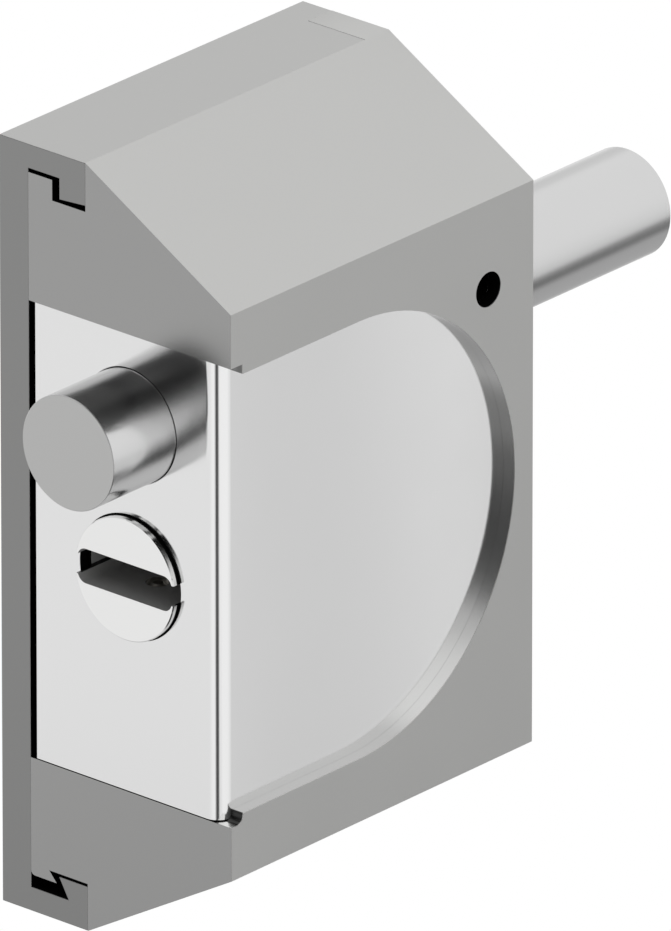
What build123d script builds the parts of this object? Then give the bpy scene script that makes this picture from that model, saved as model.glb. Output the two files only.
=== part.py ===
from build123d import *
from math import cos, radians, sin
import os

# Roller shutter lock: a push-button bolt and a key plug in a block that hooks onto a wall plate.
# Millimetres. X runs along the bolt, which leaves at +X. The wall is the plane y = 0 and the lock
# stands out towards -Y. +Z is up. The origin is the centre of the mounting plate's back face.
# "Depth" is the distance from the wall, so a depth d lies at y = -d.

# Whole lock
length = 52.5
height = 95.5
total_depth = 35.0
front_height = 70.2  # the flat front face, between the two slopes
flange_depth = 13.07  # where the slopes start

left = -length / 2
right = length / 2
top = height / 2

# Mounting plate
plate_thickness = 4.4
flange_thickness = 3.0
flange_setback = 4.1  # the flanges end this far before the right end
top_lip_depth = 9.09  # inner face of the top lip
top_lip_root = 5.6  # how far the top lip reaches down, at its inner face
top_lip_tip = 5.3  # and at its outer face
bottom_lip_height = 5.53
bottom_lip_root_depth = 10.09  # the bottom lip's inner flank leans back: its root
bottom_lip_tip_depth = 8.63  # and its upper end
screw_spacing_x = 32.0
screw_spacing_z = 68.0
screw_hole = 5.5
screw_head = 10.4
screw_head_depth = 2.8

# Housing
contact_gap = 0.005  # between faces that rest on each other
top_tongue_drop = 3.46  # from the top down to the top tongue
top_tongue_depth = 8.04
top_step_drop = 6.0  # from the top down to the ledge under the top lip
bottom_tongue_height = 4.6
bottom_tongue_depth = 8.31
bottom_tongue_radius = 0.6  # its lower back edge
bottom_step_height = 5.9
bottom_step_depth = 7.19
cavity_height = 56.9
wall_thickness = 1.75  # the front wall, which the lock body rests against
cavity_end = 23.65
window_radius = 27.25
window_centre_x = -4.1
mouth_cut = 2.08  # the front wall starts this far in, above and below the window
mouth_corner = 1.0

# Lock body
body_gap = 0.15  # under the lock body, whose top rests against the cavity's ceiling
body_foot = -cavity_height / 2 + body_gap
body_head = cavity_height / 2 - contact_gap
body_back_depth = 5.4
body_front_depth = total_depth - wall_thickness - 0.01
body_end = cavity_end - 0.1
body_edge_radius = 2.0

# Bolt, button and what they carry
rod_depth = 19.75
rod_z = 17.25
bolt_diameter = 13.3
shank_diameter = 12.8  # the part of the bolt that stays inside
button_diameter = 13.9
rod_bore = 14.0  # guides the button
end_wall_bore = 12.9  # guides the shank, and stops the bolt's free end
bore_mouth_chamfer = 0.1
button_face = left - 10.6
button_end = -20.0
button_chamfer = 0.08
bolt_tip = right + 34.8
bolt_tip_chamfer = 0.5
bolt_shoulder = -0.4
nose_start = right + 0.05  # where the bolt steps up to its full diameter
neck_diameter = 8.0
spigot_diameter = 6.0
spigot_length = 10.0
stroke = 10.0

stop_pin_diameter = 4.2
stop_pin_hole = 4.3
stop_pin_x = 18.4
stop_pin_z = 24.0
stop_pin_foot = 0.9  # depth of the pin's foot, in the mounting plate
stop_pin_head = 27.4
stop_socket = 2.5  # across flats
stop_clearance = 0.15

button_pin_diameter = 2.0
button_pin_x = -23.2

ring_length = 3.0
ring_end = -0.5
grub_diameter = 3.0
grub_socket = 1.5
spring_wire = 1.3
spring_mean_radius = 5.4
spring_turns = 4.75

# Key plug
plug_z = -1.55
plug_depth = rod_depth
plug_diameter = 15.3
plug_bore = 15.4
head_diameter = 15.05  # the plug's head, which stands clear of the bore
head_reach = 1.5  # how far the head goes into the bore
plug_proud = 1.0
plug_chamfer = 0.12
plug_shoulder = -1.1
tail_diameter = 10.0
tail_bore = 10.1
tail_end = 4.6
keyway_height = 4.3
keyway_width = 14.3
keyway_corner = 1.25
keyway_end = -4.75
rim_slot_height = 2.5
rim_slot_length = 2.4

clip_start = 2.15
clip_thickness = 1.0
clip_inner = 8.1
clip_outer = 12.5
clip_mouth_angle = 70.0
groove_diameter = 8.0

drive_pin_diameter = 3.0
drive_pin_start = -3.2
drive_pin_end = 8.9
drive_pin_throw = 1.84  # from the plug's axis

# Locking slide and its pocket
slide_start = 5.0
slide_end = 9.0
slide_gap = 0.1
slide_lift = 2 * drive_pin_throw * sin(radians(45))
slide_back_depth = 7.5
slide_front_depth = 27.0
slide_bottom = -9.5
slide_shoulder = 5.5
tongue_top = 10.1
tongue_width = 8.0
slide_slot_length = 5.0
slide_slot_height = 3.2
pocket_start = 2.0
pocket_top = 8.3

# Cover of the pocket
cover_thickness = 1.95
cover_recess = 2.0
cover_left = -3.9
cover_right = 15.1
cover_bottom = -15.6
cover_top = 14.4
cover_corner = 1.5
cover_screw_inset = 2.1
cover_screw_diameter = 2.5
cover_screw_head = 4.5
cover_screw_head_depth = 1.2
cover_screw_end = 12.0
cover_screw_socket = 1.5

# Pin chambers
chamber_first_x = -21.5
chamber_pitch = 3.8
chamber_count = 5
chamber_diameter = 2.9
pin_diameter = 2.8
key_pin_foot = plug_z - 7.5
driver_pin_top = plug_z - plug_bore / 2 - 0.04
driver_pin_foot = -13.5
pin_spring_foot = -19.9
pin_spring_wire = 0.35
pin_spring_mean_radius = 1.05
pin_spring_turns = 7
chamber_plug_top = -20.0
chamber_xs = [chamber_first_x + chamber_pitch * i for i in range(chamber_count)]

anti_drill_diameter = 2.0
anti_drill_x = -24.6
anti_drill_zs = (8.2, -11.4)
anti_drill_end = 30.0


def along_x(diameter, start, end, depth, z):
    """A cylinder along X, from start to end."""
    base = Plane(origin=(start, -depth, z), z_dir=(1, 0, 0))
    return base * Cylinder(diameter / 2, end - start, align=(Align.CENTER, Align.CENTER, Align.MIN))


def along_y(diameter, near, far, x, z):
    """A cylinder square to the wall, from depth near to depth far."""
    base = Plane(origin=(x, -near, z), z_dir=(0, -1, 0))
    return base * Cylinder(diameter / 2, far - near, align=(Align.CENTER, Align.CENTER, Align.MIN))


def along_z(diameter, low, high, x, depth):
    """An upright cylinder, from low to high."""
    base = Plane(origin=(x, -depth, low))
    return base * Cylinder(diameter / 2, high - low, align=(Align.CENTER, Align.CENTER, Align.MIN))


def block(x_range, depth_range, z_range):
    """A box between two places on X, two depths and two heights."""
    size = (x_range[1] - x_range[0], depth_range[1] - depth_range[0], z_range[1] - z_range[0])
    low_corner = (x_range[0], -depth_range[1], z_range[0])
    return Pos(*low_corner) * Box(*size, align=(Align.MIN, Align.MIN, Align.MIN))


def profile(points, start, end):
    """A bar along X whose section is given by corners (depth, z)."""
    section = Plane(origin=(end, 0, 0), x_dir=(0, -1, 0), z_dir=(-1, 0, 0))
    return extrude(section * make_face(Polyline(*points, close=True)), end - start)


def countersink(head_diameter, shank_diameter, depth, face_depth, x, z, towards_wall):
    """The cone under a countersunk head, whose flat top lies at face_depth."""
    direction = 1 if towards_wall else -1
    base = Plane(origin=(x, -face_depth, z), z_dir=(0, direction, 0))
    return base * Cone(
        head_diameter / 2, shank_diameter / 2, depth, align=(Align.CENTER, Align.CENTER, Align.MIN)
    )


def hex_socket(across_flats, depth, face_depth, x, z, towards_wall):
    """A hexagonal key socket that opens at face_depth."""
    direction = 1 if towards_wall else -1
    base = Plane(origin=(x, -face_depth, z), z_dir=(0, direction, 0))
    return extrude(base * RegularPolygon(across_flats / 2, 6, major_radius=False), depth)


def coil(base, wire, mean_radius, free_length, turns):
    """A compression spring that stands on base and fills free_length."""
    climb = free_length - wire
    helix = Helix(pitch=climb / turns, height=climb, radius=mean_radius)
    section = Plane(origin=helix @ 0, z_dir=helix % 0) * Circle(wire / 2)
    return base * Pos(0, 0, wire / 2) * sweep(section, path=helix, is_frenet=True)


def make_mounting_plate():
    flange_end = right - flange_setback
    lip_face = flange_depth - contact_gap
    plate = block((left, right), (0, plate_thickness), (-top, top))
    top_hook = [
        (plate_thickness, top),
        (lip_face, top),
        (lip_face, top - top_lip_tip),
        (top_lip_depth, top - top_lip_root),
        (top_lip_depth, top - flange_thickness),
        (plate_thickness, top - flange_thickness),
    ]
    bottom_hook = [
        (plate_thickness, -top),
        (lip_face, -top),
        (lip_face, -top + bottom_lip_height),
        (bottom_lip_tip_depth, -top + bottom_lip_height),
        (bottom_lip_root_depth, -top + flange_thickness),
        (plate_thickness, -top + flange_thickness),
    ]
    plate += profile(top_hook, left, flange_end)
    plate += profile(bottom_hook, left, flange_end)
    for x in (-screw_spacing_x / 2, screw_spacing_x / 2):
        for z in (-screw_spacing_z / 2, screw_spacing_z / 2):
            plate -= along_y(screw_hole, 0, plate_thickness, x, z)
            plate -= countersink(screw_head, screw_hole, screw_head_depth, plate_thickness, x, z, True)
    foot_hole = stop_pin_diameter + 0.04
    plate -= along_y(foot_hole, stop_pin_foot - 0.1, plate_thickness, stop_pin_x, stop_pin_z)
    return plate


def make_housing():
    back = plate_thickness + contact_gap
    slope_foot = flange_depth + contact_gap
    front_z = front_height / 2
    hooked = [
        (back, -top + bottom_tongue_height),
        (bottom_tongue_depth, -top + bottom_tongue_height),
        (bottom_step_depth, -top + bottom_step_height),
        (slope_foot, -top + bottom_step_height),
        (slope_foot, -top),
        (total_depth, -front_z),
        (total_depth, front_z),
        (slope_foot, top),
        (slope_foot, top - top_step_drop),
        (top_tongue_depth, top - top_step_drop),
        (top_tongue_depth, top - top_tongue_drop),
        (back, top - top_tongue_drop),
    ]
    full = [
        (back, -top),
        (slope_foot, -top),
        (total_depth, -front_z),
        (total_depth, front_z),
        (slope_foot, top),
        (back, top),
    ]
    end_block_start = right - flange_setback + contact_gap
    hooked_bar = profile(hooked, left, end_block_start)
    tongue_corner = (0, -back, -top + bottom_tongue_height)
    tongue_edge = hooked_bar.edges().filter_by(Axis.X).sort_by_distance(tongue_corner)[0]
    housing = fillet(tongue_edge, bottom_tongue_radius) + profile(full, end_block_start, right)

    cavity_top = cavity_height / 2
    cavity_front = total_depth - wall_thickness
    housing -= block((left, cavity_end), (0, cavity_front), (-cavity_top, cavity_top))

    # The window in the front wall: straight from the open end, then a half circle
    window_plane = Plane(origin=(0, -total_depth, 0), x_dir=(1, 0, 0), z_dir=(0, 1, 0))
    straight = Pos((left + window_centre_x) / 2, 0) * Rectangle(window_centre_x - left, 2 * window_radius)
    window = straight + Pos(window_centre_x, 0) * Circle(window_radius)
    housing -= extrude(window_plane * window, wall_thickness)

    # The front wall is cut back at the mouth, with its lower corner rounded
    mouth = block((left, left + mouth_cut), (cavity_front, total_depth), (-cavity_top, cavity_top))
    lower_edge = mouth.edges().filter_by(Axis.Y).sort_by(Axis.Z)[:2].sort_by(Axis.X)[-1]
    housing -= fillet(lower_edge, mouth_corner)

    housing -= along_x(end_wall_bore, cavity_end, right, rod_depth, rod_z)
    housing -= along_y(stop_pin_hole, cavity_front, total_depth, stop_pin_x, stop_pin_z)
    return housing


def make_lock_body():
    body = block((left, body_end), (body_back_depth, body_front_depth), (body_foot, body_head))
    corner = body.edges().filter_by(Axis.Z).group_by(Axis.X)[0].sort_by(Axis.Y)[0]
    body = fillet(corner, body_edge_radius)

    # Bores for the bolt and the key plug
    body -= along_x(rod_bore, left, body_end, rod_depth, rod_z)
    mouth = Plane(origin=(left, -rod_depth, rod_z), z_dir=(1, 0, 0))
    mouth_radius = rod_bore / 2 + bore_mouth_chamfer
    body -= mouth * Cone(
        mouth_radius, rod_bore / 2, bore_mouth_chamfer, align=(Align.CENTER, Align.CENTER, Align.MIN)
    )
    body -= along_x(plug_bore, left, plug_shoulder + 0.1, plug_depth, plug_z)
    body -= along_x(tail_bore, plug_shoulder, pocket_start, plug_depth, plug_z)

    # Pocket for the slide, its way up to the bolt, and the recess of the cover
    pocket_end = slide_end + slide_gap
    pocket_front = slide_front_depth + slide_gap
    body -= block(
        (pocket_start, pocket_end), (body_back_depth, pocket_front), (slide_bottom - slide_gap, pocket_top)
    )
    half_way = tongue_width / 2 + slide_gap
    body -= block(
        (slide_start - slide_gap, pocket_end),
        (rod_depth - half_way, rod_depth + half_way),
        (pocket_top, rod_z - rod_bore / 2 + 1.75),
    )
    body -= cover_shape(cover_recess, 0.1)
    for x, z in cover_screw_places():
        body -= along_y(cover_screw_diameter + 0.04, body_back_depth, cover_screw_end + 0.5, x, z)

    # Cross holes
    body -= along_y(stop_pin_hole, body_back_depth, body_front_depth, stop_pin_x, stop_pin_z)
    grub_x = ring_end - ring_length / 2
    body -= along_y(grub_diameter + 0.04, body_back_depth, rod_depth - rod_bore / 2 + 1, grub_x, rod_z)
    for z in anti_drill_zs:
        body -= along_y(anti_drill_diameter + 0.04, body_back_depth, anti_drill_end + 0.1, anti_drill_x, z)
    for x in chamber_xs:
        body -= along_z(chamber_diameter, body_foot, plug_z - plug_bore / 2 + 0.5, x, plug_depth)
    return body


def cover_shape(thickness, margin):
    """The cover's outline, grown by margin, as a plate set into the lock body's back."""
    width = cover_right - cover_left + 2 * margin
    tall = cover_top - cover_bottom + 2 * margin
    centre = ((cover_left + cover_right) / 2, -body_back_depth, (cover_bottom + cover_top) / 2)
    plane = Plane(origin=centre, x_dir=(1, 0, 0), z_dir=(0, -1, 0))
    return extrude(plane * RectangleRounded(width, tall, cover_corner + margin), thickness)


def cover_screw_places():
    xs = (cover_left + cover_screw_inset, cover_right - cover_screw_inset)
    zs = (cover_bottom + cover_screw_inset, cover_top - cover_screw_inset)
    return [(x, z) for x in xs for z in zs]


def make_body_cover():
    cover = cover_shape(cover_thickness, 0)
    for x, z in cover_screw_places():
        cover -= along_y(cover_screw_diameter + 0.2, body_back_depth, body_back_depth + cover_recess, x, z)
        cover -= countersink(
            cover_screw_head + 0.1,
            cover_screw_diameter + 0.1,
            cover_screw_head_depth,
            body_back_depth,
            x,
            z,
            False,
        )
    return cover


def make_cover_screws():
    screws = []
    for x, z in cover_screw_places():
        head_face = body_back_depth + 0.05
        screw = along_y(cover_screw_diameter, head_face, cover_screw_end, x, z)
        screw += countersink(
            cover_screw_head, cover_screw_diameter, cover_screw_head_depth - 0.1, head_face, x, z, False
        )
        screw -= hex_socket(cover_screw_socket, 1.0, head_face, x, z, False)
        screws.append(screw)
    return Compound(screws)


def make_bolt():
    bolt = along_x(shank_diameter, bolt_shoulder, nose_start, rod_depth, rod_z)
    nose = along_x(bolt_diameter, nose_start, bolt_tip, rod_depth, rod_z)
    tip_edge = nose.edges().filter_by(GeomType.CIRCLE).sort_by(Axis.X)[-1]
    bolt += chamfer(tip_edge, bolt_tip_chamfer)
    bolt += along_x(neck_diameter, button_end, bolt_shoulder, rod_depth, rod_z)
    bolt += along_x(spigot_diameter, button_end - spigot_length, button_end, rod_depth, rod_z)

    # Flat that the stop pin runs in
    pin_radius = stop_pin_diameter / 2
    flat_start = stop_pin_x - pin_radius - stroke - stop_clearance - 0.1
    flat_end = stop_pin_x + pin_radius + stop_clearance
    flat_z = stop_pin_z - pin_radius - stop_clearance
    reach = rod_depth + bolt_diameter / 2
    near = rod_depth - bolt_diameter / 2
    bolt -= block((flat_start, flat_end), (near, reach), (flat_z, rod_z + bolt_diameter))

    # Slot that the slide's tongue locks into when the bolt is at rest
    slot_gap = 0.3
    slot_top = tongue_top + slide_lift + 0.25
    slot_range = (slide_start - slot_gap, slide_end + slot_gap)
    bolt -= block(slot_range, (near, reach), (rod_z - bolt_diameter, slot_top))

    bolt -= along_z(button_pin_diameter, rod_z - bolt_diameter, rod_z + bolt_diameter, button_pin_x, rod_depth)
    return bolt


def make_push_button():
    button = along_x(button_diameter, button_face, button_end, rod_depth, rod_z)
    face_edge = button.edges().filter_by(GeomType.CIRCLE).sort_by(Axis.X)[0]
    button = chamfer(face_edge, button_chamfer)
    spigot_hole_start = button_end - spigot_length - 0.3
    button -= along_x(spigot_diameter + 0.04, spigot_hole_start, button_end, rod_depth, rod_z)
    button -= along_z(button_pin_diameter, rod_z - bolt_diameter, rod_z + bolt_diameter, button_pin_x, rod_depth)
    return button


def make_button_pin():
    half = button_diameter / 2 - 0.4
    return along_z(button_pin_diameter, rod_z - half, rod_z + half, button_pin_x, rod_depth)


def make_spring_ring():
    start = ring_end - ring_length
    ring = along_x(rod_bore - 0.04, start, ring_end, rod_depth, rod_z)
    ring -= along_x(neck_diameter + 0.12, start, ring_end, rod_depth, rod_z)
    middle = ring_end - ring_length / 2
    bore_wall = rod_depth - rod_bore / 2
    ring -= along_y(grub_diameter + 0.1, bore_wall - 1, bore_wall + 0.9, middle, rod_z)
    return ring


def make_ring_grub_screw():
    middle = ring_end - ring_length / 2
    head_face = body_back_depth + 0.1
    tip = rod_depth - rod_bore / 2 + 0.8
    screw = along_y(grub_diameter, head_face, tip, middle, rod_z)
    return screw - hex_socket(grub_socket, 2.0, head_face, middle, rod_z, False)


def make_return_spring():
    seat_gap = 0.03
    start = button_end + seat_gap
    free_length = ring_end - ring_length - button_end - 2 * seat_gap
    base = Plane(origin=(start, -rod_depth, rod_z), z_dir=(1, 0, 0))
    return coil(base, spring_wire, spring_mean_radius, free_length, spring_turns)


def make_stop_pin():
    pin = along_y(stop_pin_diameter, stop_pin_foot, stop_pin_head, stop_pin_x, stop_pin_z)
    pin = chamfer(pin.edges().filter_by(GeomType.CIRCLE), 0.3)
    return pin - hex_socket(stop_socket, 2.5, stop_pin_head, stop_pin_x, stop_pin_z, True)


def make_cylinder_plug():
    face_x = left - plug_proud
    head = along_x(head_diameter, face_x, left + head_reach, plug_depth, plug_z)
    face_edge = head.edges().filter_by(GeomType.CIRCLE).sort_by(Axis.X)[0]
    plug = chamfer(face_edge, plug_chamfer)
    plug += along_x(plug_diameter, left + head_reach, plug_shoulder, plug_depth, plug_z)
    plug += along_x(tail_diameter, plug_shoulder, tail_end, plug_depth, plug_z)

    groove_start = clip_start - 0.05
    groove_end = clip_start + clip_thickness + 0.05
    groove = along_x(tail_diameter, groove_start, groove_end, plug_depth, plug_z)
    plug -= groove - along_x(groove_diameter, groove_start, groove_end, plug_depth, plug_z)

    # Keyway: a wide slot with rounded corners, and a lower slot through both rims
    face = Plane(origin=(face_x, -plug_depth, plug_z), x_dir=(0, -1, 0), z_dir=(-1, 0, 0))
    keyway = face * RectangleRounded(keyway_width, keyway_height, keyway_corner)
    plug -= extrude(keyway, -(keyway_end - face_x))
    plug -= extrude(face * Rectangle(plug_diameter + 1, rim_slot_height), -rim_slot_length)

    for x in chamber_xs:
        plug -= along_z(chamber_diameter, plug_z - plug_diameter / 2 - 0.5, plug_z, x, plug_depth)

    depth, z = drive_pin_place()
    plug -= along_x(drive_pin_diameter, drive_pin_start, tail_end, depth, z)
    return plug


def drive_pin_place():
    """The drive pin's axis with the key out: 45 degrees below level, on the wall's side."""
    offset = drive_pin_throw * cos(radians(45))
    return plug_depth - offset, plug_z - offset


def make_drive_pin():
    depth, z = drive_pin_place()
    return along_x(drive_pin_diameter, drive_pin_start, drive_pin_end, depth, z)


def make_plug_clip():
    end = clip_start + clip_thickness
    clip = along_x(clip_outer, clip_start, end, plug_depth, plug_z)
    clip -= along_x(clip_inner, clip_start, end, plug_depth, plug_z)
    # The mouth that lets the ring snap over the tail, on the side away from the drive pin
    half_mouth = radians(clip_mouth_angle / 2)
    reach = clip_outer
    wedge = [
        (plug_depth, plug_z),
        (plug_depth + reach * cos(half_mouth), plug_z - reach * sin(half_mouth)),
        (plug_depth + reach * cos(half_mouth), plug_z + reach * sin(half_mouth)),
    ]
    return clip - profile(wedge, clip_start, end)


def make_locking_slide():
    slide = block(
        (slide_start, slide_end), (slide_back_depth, slide_front_depth), (slide_bottom, slide_shoulder)
    )
    half = tongue_width / 2
    slide += block((slide_start, slide_end), (rod_depth - half, rod_depth + half), (slide_shoulder, tongue_top))
    pin_depth, pin_z = drive_pin_place()
    middle_depth = (pin_depth + plug_depth - drive_pin_throw) / 2
    plane = Plane(origin=(slide_start, -middle_depth, pin_z), x_dir=(0, -1, 0), z_dir=(-1, 0, 0))
    slot = extrude(plane * SlotOverall(slide_slot_length, slide_slot_height), -(slide_end - slide_start))
    return slide - slot


def make_key_pins():
    """Five pins, each a cone on a short rod, with their tips level with the keyway's floor."""
    floor = plug_z - keyway_height / 2
    tip_z = floor - 0.05
    cone_height = 0.8
    pins = []
    for x in chamber_xs:
        pin = along_z(pin_diameter, key_pin_foot, tip_z - cone_height, x, plug_depth)
        cone_base = Plane(origin=(x, -plug_depth, tip_z - cone_height))
        pin += cone_base * Cone(
            pin_diameter / 2, 0.6, cone_height, align=(Align.CENTER, Align.CENTER, Align.MIN)
        )
        pins.append(pin)
    return Compound(pins)


def make_driver_pins():
    return Compound([along_z(pin_diameter, driver_pin_foot, driver_pin_top, x, plug_depth) for x in chamber_xs])


def make_pin_springs():
    free_length = driver_pin_foot - 0.05 - pin_spring_foot
    springs = []
    for x in chamber_xs:
        base = Plane(origin=(x, -plug_depth, pin_spring_foot))
        springs.append(
            coil(base, pin_spring_wire, pin_spring_mean_radius, free_length, pin_spring_turns)
        )
    return Compound(springs)


def make_chamber_plugs():
    low = body_foot + 0.1
    diameter = chamber_diameter - 0.02
    return Compound([along_z(diameter, low, chamber_plug_top, x, plug_depth) for x in chamber_xs])


def make_anti_drill_pins():
    near = body_back_depth + 0.1
    return Compound([along_y(anti_drill_diameter, near, anti_drill_end, anti_drill_x, z) for z in anti_drill_zs])


pieces = {
    "mounting_plate": make_mounting_plate,
    "housing": make_housing,
    "lock_body": make_lock_body,
    "body_cover": make_body_cover,
    "cover_screws": make_cover_screws,
    "bolt": make_bolt,
    "push_button": make_push_button,
    "button_pin": make_button_pin,
    "spring_ring": make_spring_ring,
    "ring_grub_screw": make_ring_grub_screw,
    "return_spring": make_return_spring,
    "stop_pin": make_stop_pin,
    "cylinder_plug": make_cylinder_plug,
    "drive_pin": make_drive_pin,
    "plug_clip": make_plug_clip,
    "locking_slide": make_locking_slide,
    "key_pins": make_key_pins,
    "driver_pins": make_driver_pins,
    "pin_springs": make_pin_springs,
    "chamber_plugs": make_chamber_plugs,
    "anti_drill_pins": make_anti_drill_pins,
}

os.makedirs("parts", exist_ok=True)
for name, make in pieces.items():
    export_step(make(), f"parts/{name}.step")
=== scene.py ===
import bmesh
import bpy
import math
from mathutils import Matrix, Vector


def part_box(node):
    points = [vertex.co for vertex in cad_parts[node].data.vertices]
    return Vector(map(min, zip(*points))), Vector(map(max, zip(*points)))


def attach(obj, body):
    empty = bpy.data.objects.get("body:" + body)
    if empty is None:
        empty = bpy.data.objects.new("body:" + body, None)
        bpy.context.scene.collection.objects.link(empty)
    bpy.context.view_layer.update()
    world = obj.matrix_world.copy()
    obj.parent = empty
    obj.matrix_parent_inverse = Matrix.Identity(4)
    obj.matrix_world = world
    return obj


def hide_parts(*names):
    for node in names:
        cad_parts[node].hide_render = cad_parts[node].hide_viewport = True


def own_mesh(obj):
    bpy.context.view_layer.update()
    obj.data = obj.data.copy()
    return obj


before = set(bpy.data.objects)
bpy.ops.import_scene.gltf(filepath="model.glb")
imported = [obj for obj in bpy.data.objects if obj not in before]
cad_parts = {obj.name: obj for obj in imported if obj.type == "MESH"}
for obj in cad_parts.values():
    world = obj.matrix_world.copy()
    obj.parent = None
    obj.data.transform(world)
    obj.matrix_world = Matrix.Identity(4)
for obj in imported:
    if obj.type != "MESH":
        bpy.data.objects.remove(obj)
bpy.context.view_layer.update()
print("frame loaded:", len(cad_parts), "nodes")

mm = 0.001    # the pieces' dictionaries give lengths in mm, the scene is in metres

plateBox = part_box("mounting_plate")
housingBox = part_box("housing")
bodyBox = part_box("lock_body")
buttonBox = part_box("push_button")
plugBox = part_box("cylinder_plug")
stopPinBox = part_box("stop_pin")
leftEnd = plateBox[0].x
rightEnd = plateBox[1].x
topEnd = plateBox[1].z
rodAxis = (buttonBox[0] + buttonBox[1]) / 2
plugAxis = (plugBox[0] + plugBox[1]) / 2
stopPinAxis = (stopPinBox[0] + stopPinBox[1]) / 2


# Node tree helpers

def newMaterial(name):
    material = bpy.data.materials.new(name)
    material.use_nodes = True
    tree = material.node_tree
    tree.nodes.clear()
    shader = tree.nodes.new("ShaderNodeBsdfPrincipled")
    output = tree.nodes.new("ShaderNodeOutputMaterial")
    tree.links.new(shader.outputs["BSDF"], output.inputs["Surface"])
    return material, tree, shader


def feed(tree, socket, value):
    # a socket takes another node's output, or a plain number or vector
    if isinstance(value, bpy.types.NodeSocket):
        tree.links.new(value, socket)
    else:
        socket.default_value = value


def mathNode(tree, operation, *values):
    node = tree.nodes.new("ShaderNodeMath")
    node.operation = operation
    for socket, value in zip(node.inputs, values):
        feed(tree, socket, value)
    return node.outputs["Value"]


def product(tree, value, *factors):
    for factor in factors:
        value = mathNode(tree, "MULTIPLY", value, factor)
    return value


def vectorNode(tree, operation, *values, output="Vector"):
    node = tree.nodes.new("ShaderNodeVectorMath")
    node.operation = operation
    for socket, value in zip(node.inputs, values):
        feed(tree, socket, value)
    return node.outputs[output]


def axesOf(tree, vector):
    split = tree.nodes.new("ShaderNodeSeparateXYZ")
    tree.links.new(vector, split.inputs["Vector"])
    return split.outputs


def rangeNode(tree, value, low, high, toLow=0.0, toHigh=1.0, kind="SMOOTHSTEP"):
    node = tree.nodes.new("ShaderNodeMapRange")
    node.interpolation_type = kind
    feed(tree, node.inputs["Value"], value)
    for name, number in zip(("From Min", "From Max", "To Min", "To Max"), (low, high, toLow, toHigh)):
        feed(tree, node.inputs[name], number)
    return node.outputs["Result"]


def mixNumbers(tree, factor, first, second):
    node = tree.nodes.new("ShaderNodeMix")
    for name, value in (("Factor", factor), ("A", first), ("B", second)):
        feed(tree, node.inputs[name], value)
    return node.outputs["Result"]


def mixColours(tree, factor, first, second):
    # the Mix node has its colours at inputs 6 and 7 and at output 2
    node = tree.nodes.new("ShaderNodeMix")
    node.data_type = "RGBA"
    feed(tree, node.inputs["Factor"], factor)
    feed(tree, node.inputs[6], first)
    feed(tree, node.inputs[7], second)
    return node.outputs[2]


def objectPlace(tree):
    return tree.nodes.new("ShaderNodeTexCoord").outputs["Object"]


def boxMask(tree, low, high):
    # 1 inside the box, 0 outside
    low, high = Vector(low), Vector(high)
    away = vectorNode(tree, "SUBTRACT", objectPlace(tree), (low + high) / 2)
    past = axesOf(tree, vectorNode(tree, "SUBTRACT", vectorNode(tree, "ABSOLUTE", away), (high - low) / 2))
    furthest = mathNode(tree, "MAXIMUM", past["X"], past["Y"])
    furthest = mathNode(tree, "MAXIMUM", furthest, past["Z"])
    return mathNode(tree, "LESS_THAN", furthest, 0.0)


def tubeMask(tree, centre, along, radius, low, high):
    # 1 within the radius of a line along an axis, between two places on it
    across = Vector([0 if axis == along else 1 for axis in "XYZ"])
    away = vectorNode(tree, "SUBTRACT", objectPlace(tree), Vector(centre))
    beside = vectorNode(tree, "MULTIPLY", away, across)
    near = mathNode(tree, "LESS_THAN", vectorNode(tree, "LENGTH", beside, output="Value"), radius)
    place = axesOf(tree, objectPlace(tree))[along]
    after = mathNode(tree, "GREATER_THAN", place, low)
    before = mathNode(tree, "LESS_THAN", place, high)
    return product(tree, near, after, before)


# Metal finishes: what they share, and how one is made

finishShared = {
    "grainShare": 0.6, "cloudShare": 0.4, "tintRange": (0.3, 0.7), "blueShare": 0.99,
    "noiseRoughness": 0.6, "grainDetail": 3.0, "cloudDetail": 1.0, "bumpStrength": 0.3,
}


def grainNoise(tree, stretch, scale, detail):
    # a small stretch along an axis draws the grain out along it
    mapping = tree.nodes.new("ShaderNodeMapping")
    mapping.inputs["Scale"].default_value = stretch
    tree.links.new(objectPlace(tree), mapping.inputs["Vector"])
    noise = tree.nodes.new("ShaderNodeTexNoise")
    noise.inputs["Scale"].default_value = scale
    noise.inputs["Detail"].default_value = detail
    noise.inputs["Roughness"].default_value = finishShared["noiseRoughness"]
    tree.links.new(mapping.outputs["Vector"], noise.inputs["Vector"])
    return noise.outputs["Fac"]


def zone(makeMask, grey, roughness, metallic=1.0):
    # a part of a piece with a finish of its own; the grey has a trace less blue
    return makeMask, (grey, grey, grey * finishShared["blueShare"], 1), roughness, metallic


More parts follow.
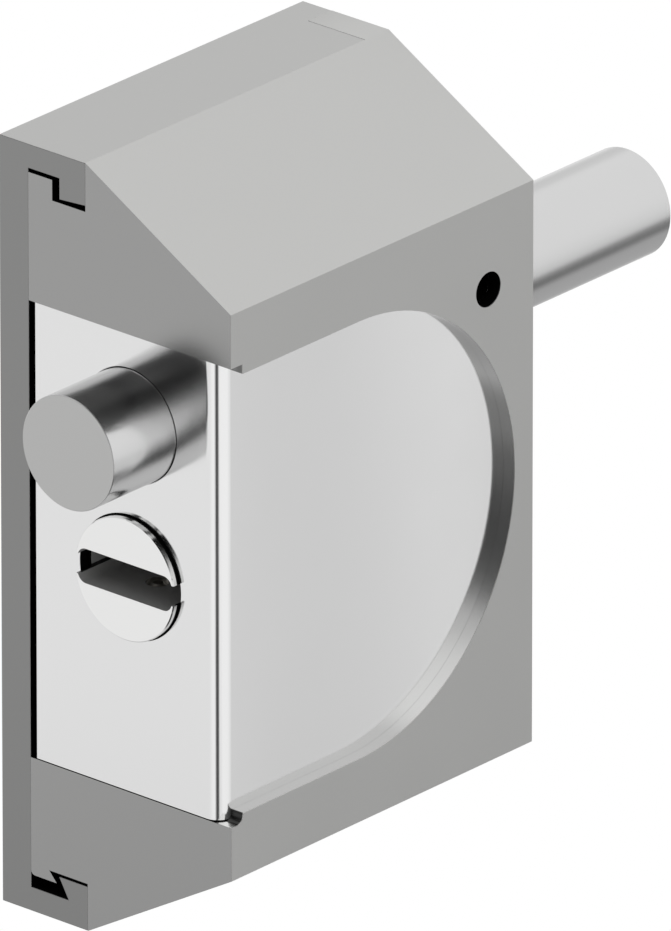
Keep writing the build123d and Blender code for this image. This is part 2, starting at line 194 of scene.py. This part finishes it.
def metalMaterial(name, look, zones=()):
    # bare metal with a fine grain in colour, roughness and bump
    material, tree, shader = newMaterial(name)
    grain = grainNoise(tree, look["stretch"], look["scale"], finishShared["grainDetail"])
    cloud = grainNoise(tree, (1, 1, 1), look["cloudScale"], finishShared["cloudDetail"])
    grainPart = mathNode(tree, "MULTIPLY", grain, finishShared["grainShare"])
    cloudPart = mathNode(tree, "MULTIPLY", cloud, finishShared["cloudShare"])
    tint = mathNode(tree, "ADD", grainPart, cloudPart)
    dark = [c * (1 - look["variation"]) for c in look["colour"]] + [1]
    light = [min(1, c * (1 + look["variation"])) for c in look["colour"]] + [1]
    tintRange = finishShared["tintRange"]
    colour = mixColours(tree, rangeNode(tree, tint, *tintRange, kind="LINEAR"), dark, light)
    roughness = rangeNode(tree, tint, *tintRange, *look["roughness"], "LINEAR")
    metallic = 1.0
    for makeMask, zoneColour, zoneRoughness, zoneMetallic in zones:
        mask = makeMask(tree)
        colour = mixColours(tree, mask, colour, zoneColour)
        roughness = mixNumbers(tree, mask, roughness, zoneRoughness)
        if zoneMetallic != 1.0:
            metallic = mixNumbers(tree, mask, metallic, zoneMetallic)
    feed(tree, shader.inputs["Metallic"], metallic)
    tree.links.new(colour, shader.inputs["Base Color"])
    tree.links.new(roughness, shader.inputs["Roughness"])
    bump = tree.nodes.new("ShaderNodeBump")
    bump.inputs["Strength"].default_value = finishShared["bumpStrength"]
    bump.inputs["Distance"].default_value = look["bump"] * mm
    tree.links.new(grain, bump.inputs["Height"])
    tree.links.new(bump.outputs["Normal"], shader.inputs["Normal"])
    return material


# Meshes: a CAD shape is copied, its corners are merged, and its edges are broken as on a machined part

meshShared = {
    "mergeWithin": 0.0005, "flatWithin": 0.3, "smoothBelow": 30, "keenWithin": 0.02, "breakSegments": 2,
}


def mergedCopy(node):
    bm = bmesh.new()
    bm.from_mesh(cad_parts[node].data)
    bmesh.ops.remove_doubles(bm, verts=bm.verts, dist=meshShared["mergeWithin"] * mm)
    return bm


def shadeSmooth(bm):
    # smooth faces, with a sharp edge where two meet at an angle
    for edge in bm.edges:
        edge.smooth = edge.calc_face_angle(0) < math.radians(meshShared["smoothBelow"])
    for face in bm.faces:
        face.smooth = True
        face.material_index = 0


def addObject(name, bm, material):
    mesh = bpy.data.meshes.new(name)
    bm.to_mesh(mesh)
    bm.free()
    mesh.materials.append(material)
    piece = bpy.data.objects.new(name, mesh)
    bpy.context.scene.collection.objects.link(piece)
    return piece


def isKeen(edge, look):
    # an edge that lies on the lock body's front face isn't broken
    if "keenDepth" not in look:
        return False
    depth, within = look["keenDepth"] * mm, meshShared["keenWithin"] * mm
    return all(abs(vert.co.y + depth) < within for vert in edge.verts)


def dressNode(node, look, material):
    bm = mergedCopy(node)
    flatWithin = math.radians(meshShared["flatWithin"])
    bmesh.ops.dissolve_limit(bm, angle_limit=flatWithin, verts=bm.verts, edges=bm.edges)
    shadeSmooth(bm)
    weights = bm.edges.layers.float.new("bevel_weight_edge")
    for edge in bm.edges:
        edge[weights] = 0.0 if edge.smooth or isKeen(edge, look) else 1.0
    piece = addObject(look["name"], bm, material)
    bevel = piece.modifiers.new("edgeBreak", "BEVEL")
    bevel.width = look["edgeBreak"] * mm
    bevel.segments = meshShared["breakSegments"]
    bevel.limit_method = "WEIGHT"
    bevel.harden_normals = True
    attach(piece, look["body"])
    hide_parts(node)


def sawnEnd(rim):
    # the left end of an extruded piece, which is sawn and duller than its drawn sides
    reach = 100 * mm    # past the lock's other faces

    def mask(tree):
        return boxMask(tree, (leftEnd - mm, -reach, -reach), (leftEnd + rim * mm, reach, reach))
    return mask


# Mounting plate: matt plate whose channel and screw holes get painted shade, coloured near black inside

plateLook = {
    "name": "wallPlate", "body": "case", "slot": "plate_metal",
    "colour": (0.625, 0.625, 0.617), "roughness": (0.50, 0.58),
    "stretch": (1, 1, 1), "scale": 5200, "cloudScale": 60, "variation": 0.02, "bump": 0.004,
    "edgeBreak": 0.10,
    "paintedShadeGrey": 0.012, "innerRoughness": 0.6, "webOverlap": 0.02,
    "endGrey": 0.30, "endRoughness": 0.30, "endRim": 0.05,
    "plateDepth": 4.4, "flangeThickness": 3.0, "screwX": 16.0, "screwZ": 34.0, "screwHole": 2.8,
}


def makePlate(look):
    def channel(tree):
        rim = look["endRim"] * mm
        inside = topEnd - (look["flangeThickness"] - look["endRim"]) * mm
        back = -(look["plateDepth"] - look["webOverlap"]) * mm
        return boxMask(tree, (leftEnd + rim, plateBox[0].y - mm, -inside), (rightEnd - rim, back, inside))

    def screwHoles(tree):
        screwX, screwZ = look["screwX"] * mm, look["screwZ"] * mm
        holes = 0.0
        for x, z in ((-screwX, -screwZ), (-screwX, screwZ), (screwX, -screwZ), (screwX, screwZ)):
            hole = tubeMask(tree, (x, 0, z), "Y", look["screwHole"] * mm, plateBox[0].y, mm)
            holes = mathNode(tree, "MAXIMUM", holes, hole)
        return holes

    zones = [zone(sawnEnd(look["endRim"]), look["endGrey"], look["endRoughness"])]
    # painted shade: the channel and the screw holes are coloured near black
    zones += [zone(mask, look["paintedShadeGrey"], look["innerRoughness"]) for mask in (channel, screwHoles)]
    dressNode("mounting_plate", look, metalMaterial("plateMatt", look, zones))


makePlate(plateLook)
print("mounting plate dressed")


# Housing: matt block with painted shade, near black, in its cavity, in its hooks' joints and in the stop
# pin's hole; painted shade on the short walls at the window's mouth and a painted highlight on the mouth's
# floor

housingLook = {
    "name": "housingBlock", "body": "case", "slot": "housing_metal",
    "colour": (0.61, 0.61, 0.60), "roughness": (0.38, 0.45),
    "stretch": (1, 1, 1), "scale": 5200, "cloudScale": 60, "variation": 0.02, "bump": 0.004,
    "edgeBreak": 0.10, "keenDepth": 33.25, "holeStart": 0.12, "wallOverlap": 0.1,
    "paintedShadeGrey": 0.012, "innerRoughness": 0.6, "backDepth": 4.6, "pinHole": 2.25,
    "endGrey": 0.39, "endRoughness": 0.26, "endRim": 0.05,
    "windowGrey": 0.62, "windowRoughness": 0.13, "windowX": -4.1, "windowRadius": 27.35,
    "cavityHalf": 28.5, "cavityFront": 33.2, "cavityStart": 0.12, "cavityEnd": 23.7,
    "hookDepth": 13.06, "hookFrom": 40.8, "hookTo": 44.8,
    "mouthTopShadeGrey": 0.30, "mouthFootShadeGrey": 0.05, "mouthRoughness": 0.3,
    "mouthFrom": 1.05, "mouthTo": 2.2, "mouthHalf": 27.2, "mouthHeight": 2.0,
    "floorHighlightGrey": 0.95, "floorRoughness": 0.2, "floorTop": 28.3, "floorDepth": 1.0, "bodyCorner": 2.0,
}


def makeHousing(look):
    rim = look["endRim"] * mm
    holeStart = housingBox[0].y + look["holeStart"] * mm
    cavityHalf, cavityFront = look["cavityHalf"] * mm, -look["cavityFront"] * mm
    wallBack = cavityFront + look["wallOverlap"] * mm
    mouthStart = leftEnd + look["mouthFrom"] * mm

    def cavity(tree):
        low = (leftEnd + look["cavityStart"] * mm, cavityFront, -cavityHalf)
        return boxMask(tree, low, (look["cavityEnd"] * mm, 0, cavityHalf))

    def back(tree):
        # what the plate's screw holes look onto
        low = (leftEnd + rim, -look["backDepth"] * mm, -topEnd)
        return boxMask(tree, low, (rightEnd - rim, 0, topEnd))

    def hooks(tree):
        depth, near, far = -look["hookDepth"] * mm, look["hookFrom"] * mm, look["hookTo"] * mm
        top = boxMask(tree, (leftEnd + rim, depth, near), (rightEnd - rim, 0, far))
        foot = boxMask(tree, (leftEnd + rim, depth, -far), (rightEnd - rim, 0, -near))
        return mathNode(tree, "MAXIMUM", top, foot)

    def pinHole(tree):
        return tubeMask(tree, stopPinAxis, "Y", look["pinHole"] * mm, holeStart, 0)

    def windowRim(tree):
        # the turned wall of the window, smoother than the block's faces
        radius, centre = look["windowRadius"] * mm, Vector((look["windowX"] * mm, 0, 0))
        turned = tubeMask(tree, centre, "Y", radius, holeStart, wallBack)
        straight = boxMask(tree, (leftEnd - mm, holeStart, -radius), (centre.x, wallBack, radius))
        return mathNode(tree, "MAXIMUM", turned, straight)

    def mouthWall(low, high):
        # the short wall above or below the window's mouth, given a darker grey as painted shade
        end = leftEnd + look["mouthTo"] * mm
        return lambda tree: boxMask(tree, (mouthStart, holeStart, low * mm), (end, wallBack, high * mm))

    def paintedFloorHighlight(tree):
        # a painted highlight: the floor of the mouth coloured bright, as far back as the lock body's
        # rounded edge
        corner, top = look["bodyCorner"] * mm, -look["floorTop"] * mm
        edgeBack = bodyBox[0].y + corner
        low = (leftEnd + rim, holeStart, top - look["floorDepth"] * mm)
        floor = boxMask(tree, low, (mouthStart, edgeBack, top))
        under = tubeMask(tree, (leftEnd + corner, edgeBack, 0), "Z", corner, -topEnd, topEnd)
        return product(tree, floor, mathNode(tree, "SUBTRACT", 1.0, under))

    half, height = look["mouthHalf"], look["mouthHeight"]
    zones = [
        zone(sawnEnd(look["endRim"]), look["endGrey"], look["endRoughness"]),
        zone(windowRim, look["windowGrey"], look["windowRoughness"]),
    ]
    inner = (cavity, back, hooks, pinHole)
    # painted shade: the cavity, the back behind the plate's screw holes, the hooks' joints and the pin
    # hole are coloured near black
    zones += [zone(mask, look["paintedShadeGrey"], look["innerRoughness"]) for mask in inner]
    zones += [
        # painted shade: the short walls above and below the mouth are coloured darker
        zone(mouthWall(half, half + height), look["mouthTopShadeGrey"], look["mouthRoughness"]),
        zone(mouthWall(-half - height, -half), look["mouthFootShadeGrey"], look["mouthRoughness"]),
        # painted highlight: the mouth's floor is coloured bright
        zone(paintedFloorHighlight, look["floorHighlightGrey"], look["floorRoughness"]),
    ]
    dressNode("housing", look, metalMaterial("housingMatt", look, zones))


makeHousing(housingLook)
print("housing dressed")


# Lock body: bright steel with a fine upright grain; its bores and its back get painted shade, coloured
# near black

bodyLook = {
    "name": "lockBlock", "body": "case", "slot": "body_steel",
    "colour": (0.87, 0.87, 0.87), "roughness": (0.12, 0.15),
    "stretch": (1, 1, 0.02), "scale": 9000, "cloudScale": 90, "variation": 0.008, "bump": 0.0008,
    "edgeBreak": 0.06,
    "backShadeGrey": 0.03, "backRoughness": 0.5, "backStart": 0.02, "backDepth": 0.05,
    "boreShadeGrey": 0.03, "boreRoughness": 0.4, "rodBore": 7.02, "rodBoreStart": 0.01,
    "plugBore": 7.72, "plugBoreStart": 0.08, "pinHole": 2.25, "pinHoleStart": 0.05,
}


def makeBody(look):
    def back(tree):
        low = (leftEnd + look["backStart"] * mm, bodyBox[1].y - look["backDepth"] * mm, -topEnd)
        return boxMask(tree, low, (rightEnd, 0, topEnd))

    def rodBore(tree):
        start = leftEnd + look["rodBoreStart"] * mm
        return tubeMask(tree, rodAxis, "X", look["rodBore"] * mm, start, rightEnd)

    def plugBore(tree):
        start = leftEnd + look["plugBoreStart"] * mm
        return tubeMask(tree, plugAxis, "X", look["plugBore"] * mm, start, rightEnd)

    def pinHole(tree):
        start = bodyBox[0].y + look["pinHoleStart"] * mm
        return tubeMask(tree, stopPinAxis, "Y", look["pinHole"] * mm, start, 0)

    # painted shade: the back and the bores are coloured near black
    zones = [zone(back, look["backShadeGrey"], look["backRoughness"])]
    zones += [zone(mask, look["boreShadeGrey"], look["boreRoughness"]) for mask in (rodBore, plugBore, pinHole)]
    dressNode("lock_body", look, metalMaterial("bodyBright", look, zones))


makeBody(bodyLook)
print("lock body dressed")


# Push button: ground sides and a matt turned face

buttonLook = {
    "name": "roundButton", "body": "rod", "slot": "button_steel",
    "colour": (0.74, 0.74, 0.74), "roughness": (0.17, 0.21),
    "stretch": (1, 0.03, 0.03), "scale": 9000, "cloudScale": 90, "variation": 0.01, "bump": 0.001,
    "edgeBreak": 0.03,
    "faceGrey": 0.60, "faceRoughness": 0.40, "faceDepth": 0.05,
}


def makeButton(look):
    def face(tree):
        low = buttonBox[0] - Vector((mm, mm, mm))
        high = (buttonBox[0].x + look["faceDepth"] * mm, buttonBox[1].y + mm, buttonBox[1].z + mm)
        return boxMask(tree, low, high)

    zones = [zone(face, look["faceGrey"], look["faceRoughness"])]
    dressNode("push_button", look, metalMaterial("buttonGround", look, zones))


makeButton(buttonLook)
print("button dressed")


# Bolt: ground round bar

boltLook = {
    "name": "roundBolt", "body": "rod", "slot": "bolt_steel",
    "colour": (0.725, 0.725, 0.725), "roughness": (0.17, 0.20),
    "stretch": (1, 0.03, 0.03), "scale": 9000, "cloudScale": 90, "variation": 0.01, "bump": 0.001,
    "edgeBreak": 0.10,
}
dressNode("bolt", boltLook, metalMaterial("boltGround", boltLook))
print("bolt dressed")


# Key plug: polished head with painted shade, near black, where it enters the bore, grey keyway

plugLook = {
    "name": "keyPlug", "body": "key_plug", "slot": "plug_chrome",
    "colour": (0.92, 0.92, 0.915), "roughness": (0.08, 0.10),
    "stretch": (1, 1, 1), "scale": 2500, "cloudScale": 90, "variation": 0.006, "bump": 0.0006,
    "edgeBreak": 0.05,
    "keywayGrey": 0.42, "keywayRoughness": 0.4, "keywayMetallic": 0.2,
    "keywayStart": 0.02, "keywayHalf": 2.16,
    "barrelShadeGrey": 0.01, "barrelRoughness": 0.5,
    "barrelStart": 0.58, "barrelInside": 7.2, "barrelOutside": 8.0,
}


def makePlug(look):
    inside = look["barrelInside"] * mm

    def keyway(tree):
        half = look["keywayHalf"] * mm
        low = (plugBox[0].x + look["keywayStart"] * mm, plugAxis.y - inside, plugAxis.z - half)
        return boxMask(tree, low, (0, plugAxis.y + inside, plugAxis.z + half))

    # painted shade: the head's side is coloured near black from where it enters the bore
    def barrel(tree):
        start = plugBox[0].x + look["barrelStart"] * mm
        core = tubeMask(tree, plugAxis, "X", inside, start, rightEnd)
        whole = tubeMask(tree, plugAxis, "X", look["barrelOutside"] * mm, start, rightEnd)
        return mathNode(tree, "SUBTRACT", whole, core)

    zones = [
        zone(keyway, look["keywayGrey"], look["keywayRoughness"], look["keywayMetallic"]),
        zone(barrel, look["barrelShadeGrey"], look["barrelRoughness"]),
    ]
    dressNode("cylinder_plug", look, metalMaterial("plugPolished", look, zones))


makePlug(plugLook)
print("key plug dressed")


# Finishes of the pieces that keep their CAD shape

innerFinishes = {
    "pinBrass": {
        "nodes": ("driver_pins", "chamber_plugs", "key_pins"),
        "colour": (0.42, 0.40, 0.36), "roughness": (0.30, 0.40),
        "stretch": (1, 1, 0.05), "scale": 6000, "cloudScale": 90, "variation": 0.04, "bump": 0.002,
    },
    "innerSteel": {
        "nodes": ("spring_ring", "drive_pin", "locking_slide"),
        "colour": (0.45, 0.45, 0.46), "roughness": (0.30, 0.40),
        "stretch": (1, 1, 0.05), "scale": 6000, "cloudScale": 90, "variation": 0.04, "bump": 0.003,
    },
    "springSteel": {
        "nodes": ("return_spring", "pin_springs", "plug_clip"),
        "colour": (0.40, 0.40, 0.42), "roughness": (0.25, 0.35),
        "stretch": (1, 1, 1), "scale": 5000, "cloudScale": 90, "variation": 0.04, "bump": 0.002,
    },
    "coverSteel": {
        "nodes": ("body_cover",),
        "colour": (0.70, 0.70, 0.70), "roughness": (0.25, 0.32),
        "stretch": (1, 1, 0.02), "scale": 9000, "cloudScale": 90, "variation": 0.02, "bump": 0.002,
    },
    "darkSteel": {
        "nodes": ("cover_screws", "ring_grub_screw", "stop_pin", "anti_drill_pins", "button_pin"),
        "colour": (0.04, 0.04, 0.042), "roughness": (0.40, 0.50),
        "stretch": (1, 1, 1), "scale": 4000, "cloudScale": 90, "variation": 0.05, "bump": 0.003,
    },
}
for name, look in innerFinishes.items():
    material = metalMaterial(name, look)
    for node in look["nodes"]:
        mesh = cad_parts[node].data
        mesh.materials.clear()
        mesh.materials.append(material)
print("inner finishes made:", len(innerFinishes))


# Return spring: between its ring and the button, a smooth-shaded copy of its CAD shape

springLook = {
    "name": "coilSpring", "body": "case", "slot": "spring_steel", "joint": "bolt_slide", "stroke": 10.0,
}


def makeSpring(look):
    bm = mergedCopy("return_spring")
    shadeSmooth(bm)
    piece = addObject(look["name"], bm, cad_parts["return_spring"].data.materials[0])
    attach(piece, look["body"])
    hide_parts("return_spring")
    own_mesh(piece)


makeSpring(springLook)
print("return spring made")


# Camera: the photograph is a parallel view, so a very long lens stands far back

cameraLook = {
    "azimuth": -48.91,
    "elevation": 23.38,
    "aim": (11.89 * mm, -17.49 * mm, -0.77 * mm),
    "lens": 1180,
    "sensor": 36,
    "viewHeight": 106.9 * mm,
    "clip": (0.1, 20),    # in metres
}


def makeCamera(look):
    data = bpy.data.cameras.new("studioCamera")
    data.lens = look["lens"]
    data.sensor_width = look["sensor"]
    data.clip_start, data.clip_end = look["clip"]
    camera = bpy.data.objects.new("studioCamera", data)
    bpy.context.scene.collection.objects.link(camera)
    around, up = math.radians(look["azimuth"]), math.radians(look["elevation"])
    back = Vector((math.sin(around) * math.cos(up), -math.cos(around) * math.cos(up), math.sin(up)))
    distance = look["viewHeight"] * look["lens"] / look["sensor"]
    camera.location = Vector(look["aim"]) + back * distance
    camera.rotation_mode = "QUATERNION"
    camera.rotation_quaternion = (-back).to_track_quat("-Z", "Y")
    bpy.context.scene.camera = camera


makeCamera(cameraLook)
print("camera placed")


# Studio: a pale floor and sky, with what polished metal mirrors of them
# A pair of numbers is the range over which one level blends into the next

studioLook = {
    "floorHeight": -0.30, "floorSize": 30.0,    # in metres
    "floorColour": 0.80, "floorRoughness": 0.9,
    "sideBlend": (-0.3, 0.3), "horizonBlend": (-0.12, 0.12),
    "skyRight": 0.90, "skyLeft": 0.84, "skyBack": 0.80, "skyBackDepth": (0.45, 0.70),
    "shadeLevel": 0.01, "shadeRise": (0.26, 0.46), "shadeSide": (0.38, 0.70), "shadeFront": (-0.58, -0.30),
    "nearLeft": 0.68, "nearBack": 0.54, "nearRight": 0.46, "nearFall": (0.40, 0.60),
    "nearBackDepth": (0.0, 0.35),
    "farFrontLeft": 0.98, "farFrontRight": 0.86, "farBack": 0.86,
    "frontSide": (0.25, 0.52), "frontDepth": (-0.25, 0.25),
    "rightDepth": 0.72, "rightRise": (-0.22, 0.12), "rightRiseTilt": 1.0,
    "rightFall": (0.60, 0.68), "rightFallTilt": 0.5, "rightDrop": (0.12, 0.30),
    "rightFade": 0.31, "rightFadeFrom": (0.93, 1.0), "rightFadeTo": (1.10, 1.30),
    "leftDepth": 0.93, "leftRise": (0.24, 0.52), "leftRiseTilt": 0.4,
    "leftFall": (0.864, 1.124), "leftFallTilt": 0.4, "leftTiltTop": 0.08,
    "leftEase": 0.20, "leftEaseLean": (0.84, 0.97), "leftEaseHeight": (-0.55, -0.15),
    "lampSide": (-0.05, -0.60, 0.80), "lampSpread": (0.88, 1.0), "lampGain": 0.36,
    "lowSide": (-0.40, -0.60, -0.69), "lowSpread": (0.92, 1.0), "lowDepth": 0.55,
}


def spot(tree, direction, side, spread, level):
    # 1 away from a side of the studio, and the given level straight towards it
    aim = Vector(side).normalized()
    aligned = vectorNode(tree, "DOT_PRODUCT", direction, aim, output="Value")
    return rangeNode(tree, aligned, *spread, 1.0, level)


def groundLevel(tree, look, direction, x, y, drop):
    # the far floor, brightest at the front left, then the near floor
    frontSide = rangeNode(tree, x, *look["frontSide"])
    farFront = mixNumbers(tree, frontSide, look["farFrontLeft"], look["farFrontRight"])
    far = mixNumbers(tree, rangeNode(tree, y, *look["frontDepth"]), farFront, look["farBack"])
    nearLeft = rangeNode(tree, y, *look["nearBackDepth"], look["nearLeft"], look["nearBack"])
    near = mixNumbers(tree, rangeNode(tree, x, *look["sideBlend"]), nearLeft, look["nearRight"])
    ground = mixNumbers(tree, rangeNode(tree, drop, *look["nearFall"]), far, near)
    # a soft shadow on the near floor
    shadow = spot(tree, direction, look["lowSide"], look["lowSpread"], 1 - look["lowDepth"])
    return product(tree, ground, shadow)


def skyLevel(tree, look, direction, x, y):
    sky = mixNumbers(tree, rangeNode(tree, x, *look["sideBlend"]), look["skyLeft"], look["skyRight"])
    backward = rangeNode(tree, y, *look["skyBackDepth"], 1.0, look["skyBack"])
    # a soft lamp overhead at the front
    lamp = spot(tree, direction, look["lampSide"], look["lampSpread"], 1 + look["lampGain"])
    return product(tree, sky, backward, lamp)


def ceilingShade(tree, look, x, y, z):
    # a dark ceiling on the left
    left = mathNode(tree, "MULTIPLY", x, -1.0)
    high, side = rangeNode(tree, z, *look["shadeRise"]), rangeNode(tree, left, *look["shadeSide"])
    return product(tree, high, side, rangeNode(tree, y, *look["shadeFront"]))


def streakDepth(tree, look, x, y, z, drop):
    # a dark streak over the floor at the front right, and a dark screen at the front left
    lean = mathNode(tree, "DIVIDE", mathNode(tree, "MULTIPLY", y, -1.0), mathNode(tree, "ABSOLUTE", x))

    def tilted(height, tilt):
        return mathNode(tree, "MULTIPLY_ADD", height, tilt, lean)

    rise = rangeNode(tree, tilted(z, look["rightRiseTilt"]), *look["rightRise"])
    fall = rangeNode(tree, tilted(z, look["rightFallTilt"]), *look["rightFall"], 1.0, 0.0)
    low = rangeNode(tree, drop, *look["rightDrop"], 0.0, look["rightDepth"])
    fade = rangeNode(tree, lean, *look["rightFadeFrom"], 0.0, look["rightFade"])
    fade = product(tree, fade, rangeNode(tree, lean, *look["rightFadeTo"], 1.0, 0.0))
    right = mathNode(tree, "MAXIMUM", product(tree, rise, fall, low), product(tree, fade, low))

    rise = rangeNode(tree, tilted(z, look["leftRiseTilt"]), *look["leftRise"])
    lower = mathNode(tree, "MINIMUM", z, look["leftTiltTop"])
    fall = rangeNode(tree, tilted(lower, look["leftFallTilt"]), *look["leftFall"], 1.0, 0.0)
    ease = rangeNode(tree, lean, *look["leftEaseLean"], 0.0, look["leftEase"])
    ease = product(tree, ease, rangeNode(tree, z, *look["leftEaseHeight"]))
    left = product(tree, rise, fall, mathNode(tree, "SUBTRACT", look["leftDepth"], ease))
    return mixNumbers(tree, mathNode(tree, "GREATER_THAN", x, 0.0), left, right)


def surroundGroup(look):
    # how bright the studio is in each direction: a group for the sky and for the floor's reflection
    tree = bpy.data.node_groups.new("studioSurround", "ShaderNodeTree")
    tree.interface.new_socket("Direction", in_out="INPUT", socket_type="NodeSocketVector")
    tree.interface.new_socket("Level", in_out="OUTPUT", socket_type="NodeSocketFloat")
    entry = tree.nodes.new("NodeGroupInput")
    leave = tree.nodes.new("NodeGroupOutput")
    direction = vectorNode(tree, "NORMALIZE", entry.outputs["Direction"])
    axes = axesOf(tree, direction)
    x, y, z = axes["X"], axes["Y"], axes["Z"]
    drop = mathNode(tree, "MULTIPLY", z, -1.0)
    ground = groundLevel(tree, look, direction, x, y, drop)
    sky = skyLevel(tree, look, direction, x, y)
    level = mixNumbers(tree, rangeNode(tree, z, *look["horizonBlend"]), ground, sky)
    level = mixNumbers(tree, ceilingShade(tree, look, x, y, z), level, look["shadeLevel"])
    keep = mathNode(tree, "SUBTRACT", 1.0, streakDepth(tree, look, x, y, z, drop))
    tree.links.new(product(tree, level, keep), leave.inputs["Level"])
    return tree


def surroundNode(tree, group, direction):
    node = tree.nodes.new("ShaderNodeGroup")
    node.node_tree = group
    tree.links.new(direction, node.inputs["Direction"])
    return node.outputs["Level"]


def mixShaders(tree, factor, first, second):
    mix = tree.nodes.new("ShaderNodeMixShader")
    tree.links.new(factor, mix.inputs["Fac"])
    tree.links.new(first, mix.inputs[1])
    tree.links.new(second, mix.inputs[2])
    return mix.outputs["Shader"]


def makeFloor(look, group):
    bm = bmesh.new()
    bmesh.ops.create_grid(bm, x_segments=1, y_segments=1, size=look["floorSize"] / 2)
    bmesh.ops.translate(bm, verts=bm.verts, vec=(0, 0, look["floorHeight"]))
    material, tree, shader = newMaterial("floorPale")
    pale = look["floorColour"]
    shader.inputs["Base Color"].default_value = (pale, pale, pale, 1)
    shader.inputs["Roughness"].default_value = look["floorRoughness"]
    # rays that a shiny surface sends get the studio's level, and the camera sees plain white
    path = tree.nodes.new("ShaderNodeLightPath")
    gloss = mathNode(tree, "MAXIMUM", path.outputs["Is Glossy Ray"], path.outputs["Is Transmission Ray"])
    mirrored = tree.nodes.new("ShaderNodeEmission")
    tree.links.new(surroundNode(tree, group, objectPlace(tree)), mirrored.inputs["Strength"])
    white = tree.nodes.new("ShaderNodeEmission")
    surface = mixShaders(tree, gloss, shader.outputs["BSDF"], mirrored.outputs["Emission"])
    surface = mixShaders(tree, path.outputs["Is Camera Ray"], surface, white.outputs["Emission"])
    output = next(n for n in tree.nodes if n.bl_idname == "ShaderNodeOutputMaterial")
    tree.links.new(surface, output.inputs["Surface"])
    floor = addObject("floor", bm, material)


def makeWorld(group):
    world = bpy.data.worlds.new("studioWorld")
    world.use_nodes = True
    bpy.context.scene.world = world
    tree = world.node_tree
    tree.nodes.clear()
    place = tree.nodes.new("ShaderNodeTexCoord")
    light, white = tree.nodes.new("ShaderNodeBackground"), tree.nodes.new("ShaderNodeBackground")
    for background in (light, white):
        background.inputs["Color"].default_value = (1, 1, 1, 1)
    tree.links.new(surroundNode(tree, group, place.outputs["Generated"]), light.inputs["Strength"])
    seen = tree.nodes.new("ShaderNodeLightPath").outputs["Is Camera Ray"]
    output = tree.nodes.new("ShaderNodeOutputWorld")
    surface = mixShaders(tree, seen, light.outputs["Background"], white.outputs["Background"])
    tree.links.new(surface, output.inputs["Surface"])


surround = surroundGroup(studioLook)
makeFloor(studioLook, surround)
makeWorld(surround)
bpy.context.scene.view_settings.view_transform = "Standard"
print("studio ready")
